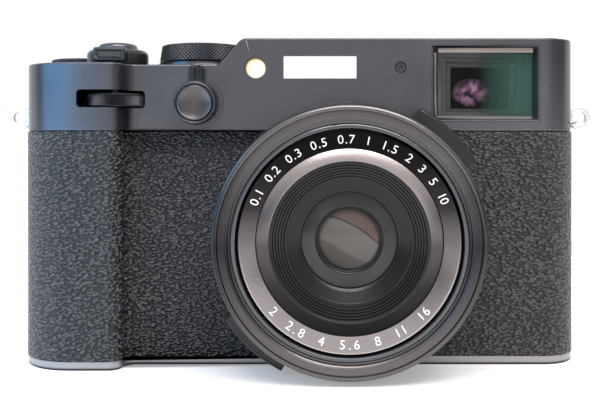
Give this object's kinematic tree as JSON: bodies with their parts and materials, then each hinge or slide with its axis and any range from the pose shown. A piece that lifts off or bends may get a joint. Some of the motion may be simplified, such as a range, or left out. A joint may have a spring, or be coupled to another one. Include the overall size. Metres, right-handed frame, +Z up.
{
  "type": "compact digital camera",
  "caption": "Flat compact camera body with a short fixed lens, knurled dials on top, a window finder, a leather grip and a screen that tilts up and down at the back.",
  "frame": {"origin": "centre of the tripod socket's mouth on the underside of the base plate", "axes": "+X to the right as seen from the front, -Y the way the lens looks, +Z up"},
  "size_m": [0.1404, 0.0532, 0.0756],
  "materials": {
    "black_metal": "satin black anodised",
    "knurled_metal": "satin black, knurled",
    "black_plastic": "fine matte",
    "gloss_black": "gloss black",
    "leatherette": "pebbled black leatherette",
    "lens_glass": "coated optical glass",
    "alloy": "bare die casting",
    "steel": "brushed",
    "polished": "polished",
    "lamp_lens": "cream lamp lens",
    "flash_white": "white behind a clear panel",
    "board_green": "circuit board",
    "screw_black": "black oxide"
  },
  "bodies": {
    "camera_body": {"chassis": "alloy", "top_cover": "black_metal", "base_plate": "black_metal", "front_cover": "black_plastic", "rear_cover": "black_plastic", "grip_leather": "leatherette", "side_leather": "leatherette", "lens_mount": "black_metal", "lens_barrel": "black_metal", "front_ring": "black_metal", "image_sensor": "board_green", "main_board": "board_green", "battery_case": "black_plastic", "battery": "black_plastic", "memory_card": "black_plastic", "tripod_socket": "steel", "hot_shoe": "steel", "viewfinder_frame": "black_metal", "viewfinder_glass": "lens_glass", "viewfinder_tunnel": "black_plastic", "viewfinder_prism": "lens_glass", "eyepiece_frame": "black_plastic", "eyepiece_lens": "lens_glass", "flash_window": "flash_white", "focus_lamp": "lamp_lens", "strap_lugs": "polished", "port_block": "black_plastic", "screws": "screw_black"},
    "aperture_ring": {"aperture_ring": "gloss_black"},
    "focus_ring": {"focus_ring": "knurled_metal"},
    "lens_unit": {"inner_barrel": "black_metal", "name_ring": "black_metal", "ridged_baffle": "black_metal", "front_element": "lens_glass", "shutter_unit": "black_plastic", "rear_element": "lens_glass"},
    "shutter_button": {"shutter_button": "black_metal"},
    "power_switch": {"power_switch": "black_metal"},
    "shutter_speed_dial": {"shutter_speed_dial": "black_metal"},
    "sensitivity_ring": {"sensitivity_ring": "knurled_metal"},
    "exposure_dial": {"exposure_dial": "knurled_metal"},
    "function_button": {"function_button": "black_metal"},
    "front_dial": {"front_dial": "knurled_metal"},
    "rear_dial": {"rear_dial": "knurled_metal"},
    "selector_lever": {"selector_lever": "knurled_metal"},
    "selector_button": {"selector_button": "black_metal"},
    "play_button": {"play_button": "black_plastic"},
    "drive_button": {"drive_button": "black_plastic"},
    "lock_button": {"lock_button": "black_plastic"},
    "quick_button": {"quick_button": "black_plastic"},
    "menu_button": {"menu_button": "black_plastic"},
    "display_button": {"display_button": "black_plastic"},
    "joystick_gimbal": {"joystick_gimbal": "steel"},
    "joystick": {"joystick": "black_plastic"},
    "screen_bracket": {"screen_bracket": "black_metal"},
    "screen_panel": {"screen_panel": "gloss_black"},
    "focus_mode_switch": {"focus_mode_switch": "black_metal"},
    "connector_door": {"connector_door": "leatherette"},
    "battery_door": {"battery_door": "black_plastic"},
    "diopter_dial": {"diopter_dial": "knurled_metal"}
  },
  "joints": [
    {"name": "aperture_turn", "type": "hinge", "parent": "camera_body", "child": "aperture_ring", "pos_m": [0.0116, -0.0232, 0.0299], "axis": [0, 1, 0], "range_deg": [0, 65]},
    {"name": "focus_turn", "type": "hinge", "parent": "camera_body", "child": "focus_ring", "pos_m": [0.0116, -0.0296, 0.0299], "axis": [0, 1, 0], "continuous": true},
    {"name": "focus_travel", "type": "slide", "parent": "camera_body", "child": "lens_unit", "axis": [0, -1, 0], "range_m": [0, 0.0014]},
    {"name": "shutter_button_press", "type": "slide", "parent": "camera_body", "child": "shutter_button", "axis": [0, 0, -1], "range_m": [0, 0.0011], "stiffness_N_per_m": 300, "springref_m": -0.0006},
    {"name": "power_turn", "type": "hinge", "parent": "camera_body", "child": "power_switch", "pos_m": [-0.04305, -0.0075, 0.0708], "axis": [0, 0, 1], "range_deg": [0, 28]},
    {"name": "shutter_speed_turn", "type": "hinge", "parent": "camera_body", "child": "shutter_speed_dial", "pos_m": [-0.0233, -0.0035, 0.0715], "axis": [0, 0, 1], "continuous": true},
    {"name": "sensitivity_lift", "type": "slide", "parent": "shutter_speed_dial", "child": "sensitivity_ring", "axis": [0, 0, 1], "range_m": [0, 0.001], "stiffness_N_per_m": 200, "springref_m": -0.0006},
    {"name": "exposure_turn", "type": "hinge", "parent": "camera_body", "child": "exposure_dial", "pos_m": [-0.0545, 0.0065, 0.0703], "axis": [0, 0, 1], "range_deg": [-135, 150]},
    {"name": "function_button_press", "type": "slide", "parent": "camera_body", "child": "function_button", "axis": [0, 0, -1], "range_m": [0, 0.0004], "stiffness_N_per_m": 250, "springref_m": -0.0006},
    {"name": "front_dial_turn", "type": "hinge", "parent": "camera_body", "child": "front_dial", "pos_m": [-0.0419, -0.0148, 0.0604], "axis": [0, 0, 1], "continuous": true},
    {"name": "rear_dial_turn", "type": "hinge", "parent": "camera_body", "child": "rear_dial", "pos_m": [-0.0485, 0.0084, 0.063], "axis": [0, 0, 1], "continuous": true},
    {"name": "selector_flick", "type": "hinge", "parent": "camera_body", "child": "selector_lever", "pos_m": [-0.023, -0.018, 0.0598], "axis": [0, 1, 0], "range_deg": [-12, 12], "stiffness_Nm_per_rad": 0.02},
    {"name": "selector_press", "type": "slide", "parent": "selector_lever", "child": "selector_button", "axis": [0, 1, 0], "range_m": [0, 0.0004], "stiffness_N_per_m": 250, "springref_m": -0.0006},
    {"name": "play_button_press", "type": "slide", "parent": "camera_body", "child": "play_button", "axis": [0, -1, 0], "range_m": [0, 0.0005], "stiffness_N_per_m": 250, "springref_m": -0.0006},
    {"name": "drive_button_press", "type": "slide", "parent": "camera_body", "child": "drive_button", "axis": [0, -1, 0], "range_m": [0, 0.0005], "stiffness_N_per_m": 250, "springref_m": -0.0006},
    {"name": "lock_button_press", "type": "slide", "parent": "camera_body", "child": "lock_button", "axis": [0, -1, 0], "range_m": [0, 0.0005], "stiffness_N_per_m": 250, "springref_m": -0.0006},
    {"name": "quick_button_press", "type": "slide", "parent": "camera_body", "child": "quick_button", "axis": [0, -1, 0], "range_m": [0, 0.0005], "stiffness_N_per_m": 250, "springref_m": -0.0006},
    {"name": "menu_button_press", "type": "slide", "parent": "camera_body", "child": "menu_button", "axis": [0, -1, 0], "range_m": [0, 0.0005], "stiffness_N_per_m": 250, "springref_m": -0.0006},
    {"name": "display_button_press", "type": "slide", "parent": "camera_body", "child": "display_button", "axis": [0, -1, 0], "range_m": [0, 0.0005], "stiffness_N_per_m": 250, "springref_m": -0.0006},
    {"name": "joystick_sideways", "type": "hinge", "parent": "camera_body", "child": "joystick_gimbal", "pos_m": [-0.028, 0.0132, 0.037], "axis": [0, 0, 1], "range_deg": [-8, 8], "stiffness_Nm_per_rad": 0.01},
    {"name": "joystick_up_down", "type": "hinge", "parent": "joystick_gimbal", "child": "joystick", "pos_m": [-0.028, 0.0132, 0.037], "axis": [1, 0, 0], "range_deg": [-8, 8], "stiffness_Nm_per_rad": 0.01},
    {"name": "screen_tilt_down", "type": "hinge", "parent": "camera_body", "child": "screen_bracket", "pos_m": [0.02, 0.0147, 0.0048], "axis": [-1, 0, 0], "range_deg": [0, 45]},
    {"name": "screen_tilt_up", "type": "hinge", "parent": "screen_bracket", "child": "screen_panel", "pos_m": [0.02, 0.0154, 0.0499], "axis": [1, 0, 0], "range_deg": [0, 90]},
    {"name": "focus_mode_slide", "type": "slide", "parent": "camera_body", "child": "focus_mode_switch", "axis": [0, 0, 1], "range_m": [-0.0035, 0.0035]},
    {"name": "connector_door_swing", "type": "hinge", "parent": "camera_body", "child": "connector_door", "pos_m": [-0.0622, -0.0032, 0.029], "axis": [0, 0, 1], "range_deg": [0, 90]},
    {"name": "battery_door_swing", "type": "hinge", "parent": "camera_body", "child": "battery_door", "pos_m": [-0.0143, -0.0025, 0.0009], "axis": [0, -1, 0], "range_deg": [0, 90]},
    {"name": "diopter_turn", "type": "hinge", "parent": "camera_body", "child": "diopter_dial", "pos_m": [0.0574, 0.0132, 0.0665], "axis": [1, 0, 0], "range_deg": [-150, 150]}
  ]
}
